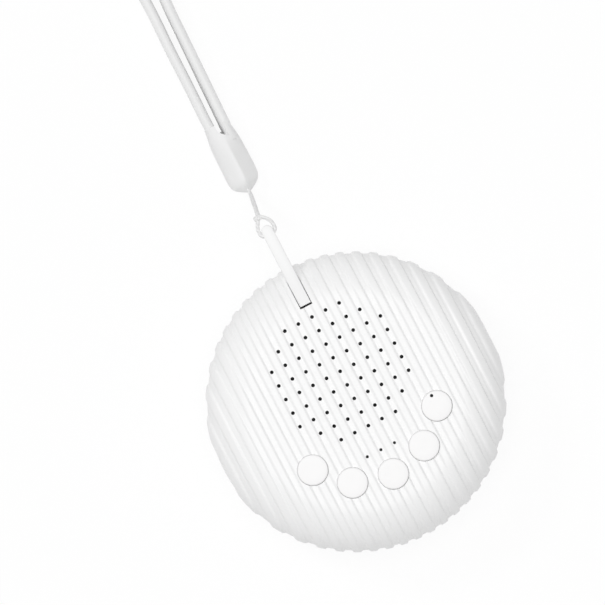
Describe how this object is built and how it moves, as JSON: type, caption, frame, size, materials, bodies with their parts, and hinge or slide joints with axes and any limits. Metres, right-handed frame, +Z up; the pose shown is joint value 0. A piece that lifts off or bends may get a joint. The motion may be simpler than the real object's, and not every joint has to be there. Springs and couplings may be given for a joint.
{
  "type": "white noise sound machine",
  "caption": "Round portable white noise sound machine with parallel ribs, a drilled speaker grille, an arc of push buttons and a wrist strap.",
  "frame": {"origin": "centre of the body's foot print, on the surface that the rubber feet stand on", "axes": "+Z up out of the face with the buttons, +Y from the middle of the body towards the strap, +X to the right of someone facing the buttons with the strap at the top"},
  "size_m": [0.0781, 0.2407, 0.0322],
  "materials": {
    "shell": "fine satin moulded ABS, white",
    "button": "smooth satin, white",
    "foot": "matt, pale grey",
    "steel": "plated",
    "black_plastic": "satin, black",
    "ivory_plastic": "satin, ivory",
    "board": "green solder mask on glass epoxy",
    "led": "clear over a yellow chip",
    "foil": "laminated pouch",
    "foam": "closed-cell foam",
    "cloth": "black acoustic cloth",
    "surround_rubber": "matt",
    "cone_paper": "pressed paper pulp, black",
    "copper": "enamelled copper wire",
    "ferrite": "sintered ferrite",
    "strap_plastic": "smooth moulded nylon, white",
    "string": "braided nylon, white",
    "strap_silicone": "matt silicone, white"
  },
  "bodies": {
    "housing": {"front_shell": "shell", "rear_shell": "shell", "rubber_feet": "foot", "case_screws": "steel", "push_switches": "black_plastic", "main_board": "board", "board_screws": "steel", "status_leds": "led", "led_shroud": "black_plastic", "audio_chip": "black_plastic", "amplifier_chip": "black_plastic", "charge_chip": "black_plastic", "capacitor": "steel", "battery_connector": "ivory_plastic", "usb_c_socket": "steel", "battery": "foil", "battery_pad": "foam", "dust_cloth": "cloth", "speaker_gasket": "foam", "speaker_frame": "steel", "speaker_surround": "surround_rubber", "speaker_cone": "cone_paper", "speaker_dust_cap": "cone_paper", "voice_coil": "copper", "speaker_top_plate": "steel", "speaker_magnet": "ferrite", "speaker_yoke": "steel", "speaker_screws": "steel", "speaker_washers": "steel", "strap_pin": "steel"},
    "timer_key": {"timer_button": "button", "timer_plunger": "black_plastic"},
    "volume_down_key": {"volume_down_button": "button", "volume_down_plunger": "black_plastic"},
    "sound_key": {"sound_button": "button", "sound_plunger": "black_plastic"},
    "volume_up_key": {"volume_up_button": "button", "volume_up_plunger": "black_plastic"},
    "power_key": {"power_button": "button", "power_plunger": "black_plastic"},
    "strap": {"strap_tab": "strap_plastic", "lanyard_string": "string", "string_knot": "string", "strap_end": "strap_silicone", "wrist_band": "strap_silicone"}
  },
  "joints": [
    {"name": "timer_press", "type": "slide", "parent": "housing", "child": "timer_key", "axis": [0, 0, -1], "range_m": [0, 0.00035], "stiffness_N_per_m": 4000, "springref_m": -0.0002},
    {"name": "volume_down_press", "type": "slide", "parent": "housing", "child": "volume_down_key", "axis": [0, 0, -1], "range_m": [0, 0.00035], "stiffness_N_per_m": 4000, "springref_m": -0.0002},
    {"name": "sound_press", "type": "slide", "parent": "housing", "child": "sound_key", "axis": [0, 0, -1], "range_m": [0, 0.00035], "stiffness_N_per_m": 4000, "springref_m": -0.0002},
    {"name": "volume_up_press", "type": "slide", "parent": "housing", "child": "volume_up_key", "axis": [0, 0, -1], "range_m": [0, 0.00035], "stiffness_N_per_m": 4000, "springref_m": -0.0002},
    {"name": "power_press", "type": "slide", "parent": "housing", "child": "power_key", "axis": [0, 0, -1], "range_m": [0, 0.00035], "stiffness_N_per_m": 4000, "springref_m": -0.0002},
    {"name": "strap_swing", "type": "hinge", "parent": "housing", "child": "strap", "pos_m": [0, 0.0301, 0.0295], "axis": [1, 0, 0], "range_deg": [0, 90]}
  ]
}
